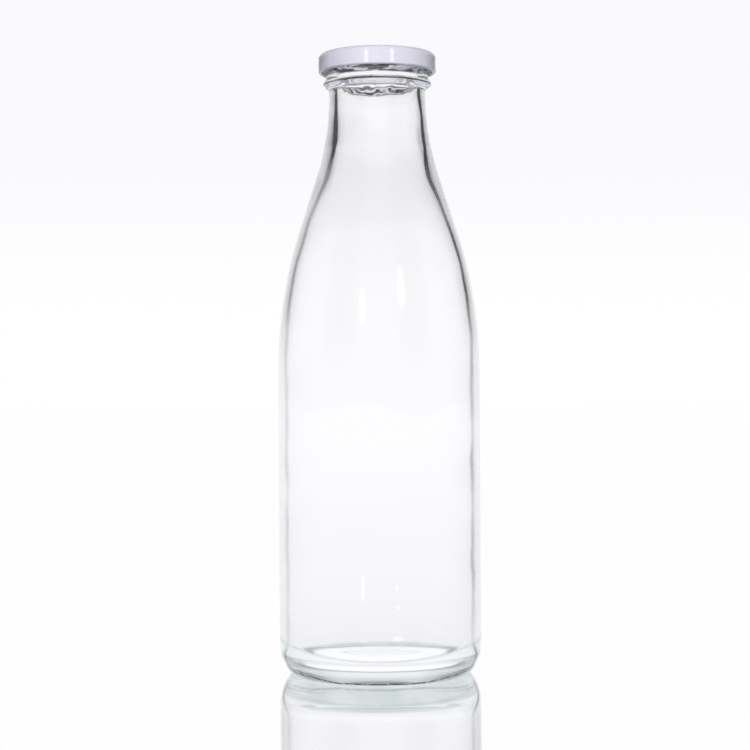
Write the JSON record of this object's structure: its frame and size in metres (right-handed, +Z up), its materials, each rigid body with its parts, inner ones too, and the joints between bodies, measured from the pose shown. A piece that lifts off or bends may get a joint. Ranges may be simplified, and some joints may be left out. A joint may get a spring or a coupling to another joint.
{
  "type": "glass milk bottle",
  "caption": "Clear glass milk bottle with a long sloping shoulder and a white twist-off metal cap that turns under its lugs and lifts off.",
  "frame": {"origin": "centre of the ring that the bottle stands on", "axes": "+Z up along the bottle's axis; +X and +Y level; the glass threads are centred on +X, -X, +Y and -Y, and at rest the cap's lugs lie midway between them"},
  "size_m": [0.088, 0.088, 0.2694],
  "materials": {
    "clear_glass": "clear, polished, very faint green-grey tint",
    "white_enamelled_steel": "glossy white enamel, faintly lilac",
    "sealing_compound": "satin, soft"
  },
  "bodies": {
    "bottle": {"glass_bottle": "clear_glass"},
    "seal": {"sealing_ring": "sealing_compound"},
    "cap": {"cap_shell": "white_enamelled_steel"}
  },
  "joints": [
    {"name": "cap_lift", "type": "slide", "parent": "bottle", "child": "seal", "axis": [0, 0, 1], "range_m": [0, 0.06]},
    {"name": "cap_turn", "type": "hinge", "parent": "seal", "child": "cap", "pos_m": [0, 0, 0.2653], "axis": [0, 0, 1], "range_deg": [-62, 0]}
  ]
}
